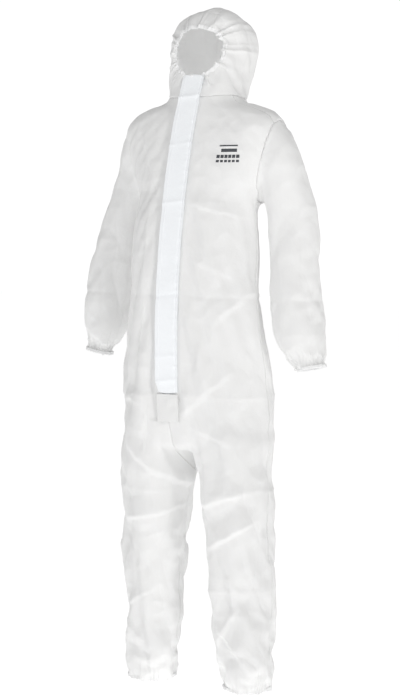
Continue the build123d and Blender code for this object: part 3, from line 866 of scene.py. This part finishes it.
def make_waist_elastic():
    bm = bmesh.new()
    rows = []
    xs = np.linspace(-0.148, 0.148, 90)
    for x in xs:
        u = abs(x) / 0.180
        y = -0.03 + 0.120 * (1 - u ** 2.2) ** (1 / 2.2)
        ripple = 0.0012 * math.sin(x * 700)
        rows.append([bm.verts.new((x, y + ripple + d, z)) for d, z in
                     ((0, -0.5405), (-0.0008, -0.5380), (-0.0008, -0.5320), (0, -0.5295), (0.0012, -0.5320), (0.0012, -0.5380))])
    for low, high in zip(rows, rows[1:]):
        for j in range(6):
            bm.faces.new((low[j], low[(j + 1) % 6], high[(j + 1) % 6], high[j]))
    bm.faces.new(rows[0])
    bm.faces.new(list(reversed(rows[-1])))
    return new_piece("waist_gather", bm)


def make_label():
    low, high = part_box("neck_label")
    bm = bmesh.new()
    grid = []
    for out in (0.0, 0.0009):
        rows = []
        for z in np.linspace(low[2], high[2], 14):
            row = []
            for x in np.linspace(low[0], high[0], 16):
                curl = 0.0022 * ramp(z, low[2] + 0.015, low[2]) ** 2 + 0.0004 * noise.noise(Vector((x * 90, 0, z * 90)))
                edge = min(x - low[0], high[0] - x, z - low[2], high[2] - z)
                hem = 0.0003 * (edge < 0.003)
                row.append(bm.verts.new((x, high[1] - out - curl - (hem if out else -0.0), z)))
            rows.append(row)
        grid.append(rows)
    back, front = grid
    for i in range(13):
        for j in range(15):
            bm.faces.new((front[i][j], front[i][j + 1], front[i + 1][j + 1], front[i + 1][j]))
            bm.faces.new((back[i][j], back[i + 1][j], back[i + 1][j + 1], back[i][j + 1]))
    loop = [(i, 0) for i in range(14)] + [(13, j) for j in range(1, 16)] + [(i, 15) for i in range(12, -1, -1)] + [(0, j) for j in range(14, 0, -1)]
    for (a, b), (c, d) in zip(loop, loop[1:] + loop[:1]):
        bm.faces.new((front[a][b], front[c][d], back[c][d], back[a][b]))
    return new_piece("neck_label_woven", bm)


# a plain block mark on the left breast, as x and z of its middle, width and height
PRINT_AT = (0.130, -0.160)
PRINT_BARS = ([(0.000, 0.0245, 0.048, 0.0034), (0.002, 0.0120, 0.042, 0.0085)]
              + [(-0.0255 + 0.0102 * i, -0.0040, 0.0080, 0.0085) for i in range(6)]
              + [(-0.0255 + 0.0102 * i, -0.0165, 0.0070, 0.0060) for i in range(6)])


def make_print(fabric):
    """Thin printed blocks that follow the cloth they are on."""
    bm = bmesh.new()
    depsgraph = bpy.context.evaluated_depsgraph_get()
    surface = fabric.evaluated_get(depsgraph)
    for x0, z0, width, height in PRINT_BARS:
        nx, nz = max(2, round(width / 0.003)), max(2, round(height / 0.003))
        layers = []
        for lift in (0.00045, 0.0001):
            rows = []
            for z in np.linspace(-height / 2, height / 2, nz + 1):
                row = []
                for x in np.linspace(-width / 2, width / 2, nx + 1):
                    at = Vector((PRINT_AT[0] + x0 + x, -0.6, PRINT_AT[1] + z0 + z))
                    hit, where, normal, _ = surface.ray_cast(at, Vector((0, 1, 0)))
                    row.append(bm.verts.new(where + normal * lift))
                rows.append(row)
            layers.append(rows)
        front, back = layers
        for i in range(nz):
            for j in range(nx):
                bm.faces.new((front[i][j], front[i][j + 1], front[i + 1][j + 1], front[i + 1][j]))
                bm.faces.new((back[i][j], back[i + 1][j], back[i + 1][j + 1], back[i][j + 1]))
        loop = ([(i, 0) for i in range(nz + 1)] + [(nz, j) for j in range(1, nx + 1)]
                + [(i, nx) for i in range(nz - 1, -1, -1)] + [(0, j) for j in range(nx - 1, 0, -1)])
        for (a, b), (c, d) in zip(loop, loop[1:] + loop[:1]):
            bm.faces.new((front[a][b], front[c][d], back[c][d], back[a][b]))
    return new_piece("breast_print", bm)


# ---------------------------------------------------------------- materials
def material(name, colour, spread, roughness, bumps, sheen=0.0, metallic=0.0, specular=0.35, dots=None, scale=14):
    """A procedural finish: cloudy colour, uneven roughness and bumps of (noise scale, depth)."""
    mat = bpy.data.materials.new(name)
    mat.use_nodes = True
    tree = mat.node_tree
    nodes, links = tree.nodes, tree.links
    shader = nodes["Principled BSDF"]
    shader.inputs["Metallic"].default_value = metallic
    shader.inputs["Specular IOR Level"].default_value = specular
    shader.inputs["Sheen Weight"].default_value = sheen
    shader.inputs["Sheen Roughness"].default_value = 0.6
    where = nodes.new("ShaderNodeTexCoord").outputs["Object"]

    def cloud(size, detail=3):
        tex = nodes.new("ShaderNodeTexNoise")
        tex.inputs["Scale"].default_value = size
        tex.inputs["Detail"].default_value = detail
        links.new(where, tex.inputs["Vector"])
        return tex.outputs["Fac"]
    mix = nodes.new("ShaderNodeMix")
    mix.data_type = "RGBA"
    mix.inputs[6].default_value = (*[c * (1 - spread) for c in colour], 1)
    mix.inputs[7].default_value = (*[min(c * (1 + spread), 1) for c in colour], 1)
    links.new(cloud(scale, 5), mix.inputs[0])
    links.new(mix.outputs[2], shader.inputs["Base Color"])
    span = nodes.new("ShaderNodeMapRange")
    span.inputs["To Min"].default_value = roughness - 0.06
    span.inputs["To Max"].default_value = roughness + 0.08
    links.new(cloud(scale * 4), span.inputs["Value"])
    links.new(span.outputs["Result"], shader.inputs["Roughness"])
    normal = None
    heights = [(cloud(size), depth) for size, depth in bumps]
    if dots:
        tex = nodes.new("ShaderNodeTexVoronoi")
        tex.inputs["Scale"].default_value = dots[0]
        tex.inputs["Randomness"].default_value = dots[2]
        links.new(where, tex.inputs["Vector"])
        heights.append((tex.outputs["Distance"], dots[1]))
    for height, depth in heights:
        bump = nodes.new("ShaderNodeBump")
        bump.inputs["Strength"].default_value = 1.0
        bump.inputs["Distance"].default_value = depth
        links.new(height, bump.inputs["Height"])
        if normal:
            links.new(normal, bump.inputs["Normal"])
        normal = bump.outputs["Normal"]
    links.new(normal, shader.inputs["Normal"])
    return mat


NONWOVEN = material("white_nonwoven", (0.912, 0.912, 0.909), 0.018, 0.66, [(38, 0.0009), (110, 0.0004)], sheen=0.12, dots=(560, 0.00009, 0.05))
FLAP_WHITE = material("flap_nonwoven", (0.940, 0.955, 0.975), 0.010, 0.60, [(30, 0.0012), (120, 0.0005)], sheen=0.10, dots=(560, 0.00009, 0.05))
# the elastic is white like the rest of the suit, but set lighter than the body cloth as painted light that offsets the
# shade falling on the gathered bands
ELASTIC = material("covered_elastic", (0.955, 0.958, 0.960), 0.020, 0.70, [(140, 0.0004), (420, 0.0002)], sheen=0.10)
TAPE = material("zip_tape", (0.880, 0.885, 0.895), 0.020, 0.75, [(900, 0.00012)], dots=(1400, 0.0001, 0.0))
COIL = material("zip_teeth", (0.870, 0.875, 0.885), 0.015, 0.38, [(600, 0.00004)], specular=0.5)
METAL = material("slider_metal", (0.820, 0.825, 0.835), 0.020, 0.32, [(300, 0.00004)], metallic=0.35, specular=0.6)
LABEL = material("label_cloth", (0.930, 0.930, 0.925), 0.012, 0.60, [(700, 0.00008)], dots=(1600, 0.00006, 0.0))
INK = material("print_ink", (0.075, 0.080, 0.090), 0.15, 0.62, [(500, 0.00004)])


glow = FLAP_WHITE.node_tree.nodes["Principled BSDF"].inputs
glow["Emission Color"].default_value = (0.86, 0.94, 1.0, 1)   # painted glow: a faint bluish emission in the flap's whiter cloth, making it brighter than the lamps alone light it
glow["Emission Strength"].default_value = 0.09


def finish_with(piece, mat):
    piece.data.materials.clear()
    piece.data.materials.append(mat)


# ---------------------------------------------------------------- making and placing every piece
garment = worn_shape("garment", 0, VOXEL)
cut_garment(garment)
stored = garment.data.attributes.new("rest", "FLOAT_VECTOR", "POINT")
stored.data.foreach_set("vector", coordinates(garment.data).ravel())
wearer = worn_shape("wearer", -0.014, 0.013)
drape(garment, wearer, 20)
bpy.data.objects.remove(wearer)
bpy.context.scene.frame_set(1)
labels = settle_details(garment)
rim_points = []
rest_now = vectors(garment.data, "rest")
edge_of = {}
for key, uses in edge_uses(garment.data):
    if uses == 1:
        for i in key:
            r = rest_now[i]
            if r[2] > 0.03 and r[1] < 0.06 and rim(r) < 1.05:
                edge_of[i] = Vector(garment.data.vertices[i].co)
rim_points = list(edge_of.values())
panels = split_panels(garment, labels)

# name: CAD nodes it stands for, flat width, flat length, flat area, how it is held
PANELS = {
    "left_front_fabric": (("left_front_panel", "left_shin_front_panel"), 0.36, 1.62, 0.47, "hung"),
    "right_front_fabric": (("right_front_panel", "right_shin_front_panel"), 0.36, 1.62, 0.47, "hung"),
    "left_back_fabric": (("left_back_panel", "left_shin_back_panel"), 0.36, 1.64, 0.45, "hung"),
    "right_back_fabric": (("right_back_panel", "right_shin_back_panel"), 0.36, 1.64, 0.45, "hung"),
    "crotch_gusset_fabric": (("crotch_gusset",), 0.14, 0.18, 0.0158, "hung"),
    "left_sleeve_fabric": (("left_sleeve_head", "left_sleeve"), 0.46, 0.62, 0.26, "hung"),
    "right_sleeve_fabric": (("right_sleeve_head", "right_sleeve"), 0.46, 0.62, 0.26, "hung"),
    "hood_left_fabric": (("hood_left_panel", "hood_base_left"), 0.26, 0.34, 0.064, "hung"),
    "hood_right_fabric": (("hood_right_panel", "hood_base_right"), 0.26, 0.34, 0.064, "hung"),
    "hood_centre_fabric": (("hood_centre_panel", "hood_base_back"), 0.10, 0.50, 0.042, "hung"),
}
for name, (nodes, width, length, area, held) in PANELS.items():
    piece = panels[name]
    finish_with(piece, NONWOVEN)
    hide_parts(*nodes)
    if "sleeve" in name:
        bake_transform(piece)
    elif "hood" in name:
        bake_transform(piece)
    elif "gusset" in name:
        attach(piece, "torso")
    else:
        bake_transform(piece)

flap = make_flap()
finish_with(flap, FLAP_WHITE)
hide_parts("storm_flap_top", "storm_flap")
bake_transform(flap)
patch = make_patch()
finish_with(patch, NONWOVEN)
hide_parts("zip_bottom_patch")
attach(patch, "torso")
for piece, node in make_zip():
    is_tape = "tape" in node
    finish_with(piece, TAPE if is_tape else COIL)
    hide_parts(node)
    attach(piece, "torso")
for piece, body, node in make_elastics():
    finish_with(piece, ELASTIC)
    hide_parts(node)
    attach(piece, body)
face_band = make_face_band(rim_points)
finish_with(face_band, ELASTIC)
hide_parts("face_elastic")
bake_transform(face_band)
waist = make_waist_elastic()
finish_with(waist, ELASTIC)
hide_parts("waist_elastic")
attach(waist, "torso")
label = make_label()
finish_with(label, LABEL)
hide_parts("neck_label")
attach(label, "torso")
mark = make_print(panels["left_front_fabric"])
finish_with(mark, INK)
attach(mark, "torso")
for node, mat in (("zip_slider", METAL), ("zip_pull", METAL), ("zip_bottom_stop", METAL), ("zip_top_stops", METAL)):
    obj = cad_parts[node]
    for i in range(len(obj.material_slots)):
        obj.material_slots[i].material = mat
    if not obj.material_slots:
        obj.data.materials.append(mat)

# ---------------------------------------------------------------- studio: floor, light and camera
FLOOR_Z = HEM_Z - 0.0045
bpy.ops.mesh.primitive_plane_add(size=60, location=(0, 0, FLOOR_Z))
floor = bpy.context.object
floor.name = "studio_floor"
paper = material("studio_paper", (0.93, 0.93, 0.93), 0.004, 0.85, [(40, 0.0001)])
paper.node_tree.nodes["Principled BSDF"].inputs["Emission Color"].default_value = (1, 1, 1, 1)
paper.node_tree.nodes["Principled BSDF"].inputs["Emission Strength"].default_value = 0.70
floor.data.materials.append(paper)

scene = bpy.context.scene
world = bpy.data.worlds.new("studio")
scene.world = world
world.use_nodes = True
tree = world.node_tree
tree.nodes.clear()
output = tree.nodes.new("ShaderNodeOutputWorld")
seen = tree.nodes.new("ShaderNodeBackground")
seen.inputs["Color"].default_value = (1, 1, 1, 1)
seen.inputs["Strength"].default_value = 1.05
lit = tree.nodes.new("ShaderNodeBackground")
lit.inputs["Color"].default_value = (1.0, 0.998, 0.994, 1)
lit.inputs["Strength"].default_value = 0.33
path = tree.nodes.new("ShaderNodeLightPath")
choose = tree.nodes.new("ShaderNodeMixShader")
tree.links.new(path.outputs["Is Camera Ray"], choose.inputs[0])
tree.links.new(lit.outputs[0], choose.inputs[1])
tree.links.new(seen.outputs[0], choose.inputs[2])
tree.links.new(choose.outputs[0], output.inputs["Surface"])
scene.view_settings.view_transform = "Standard"
scene.view_settings.look = "None"


def area_light(name, position, size, power, colour, aim=(0, 0, -0.7)):
    light = bpy.data.lights.new(name, "AREA")
    light.shape = "RECTANGLE"
    light.size, light.size_y = size
    light.energy = power
    light.color = colour
    obj = bpy.data.objects.new(name, light)
    obj.location = position
    obj.rotation_euler = (Vector(aim) - Vector(position)).to_track_quat("-Z", "Y").to_euler()
    scene.collection.objects.link(obj)


area_light("key", (3.6, -1.9, 1.5), (0.6, 0.9), 44, (1.0, 0.995, 0.985))
area_light("front", (-1.5, -3.1, 2.0), (1.0, 1.0), 18.5, (0.99, 0.995, 1.0))

def inner_light(name, position, power):
    """A weak lamp inside, for the light that comes through the thin cloth."""
    light = bpy.data.lights.new(name, "POINT")
    light.shadow_soft_size = 0.05
    light.energy = power
    obj = bpy.data.objects.new(name, light)
    obj.location = position
    scene.collection.objects.link(obj)


inner_light("through_hood", (0.0, 0.045, 0.085), 0.125)

azimuth, elevation, distance = math.radians(30), math.radians(3.5), 5.0
target = Vector((0, -0.02, -0.684))
camera = bpy.data.cameras.new("camera")
eye = bpy.data.objects.new("camera", camera)
scene.collection.objects.link(eye)
eye.location = target + distance * Vector((math.sin(azimuth) * math.cos(elevation),
                                           -math.cos(azimuth) * math.cos(elevation), math.sin(elevation)))
eye.rotation_euler = (target - eye.location).to_track_quat("-Z", "Y").to_euler()
camera.sensor_fit = "VERTICAL"
camera.sensor_height = 24
camera.lens = 24 * distance / 1.91
scene.camera = eye
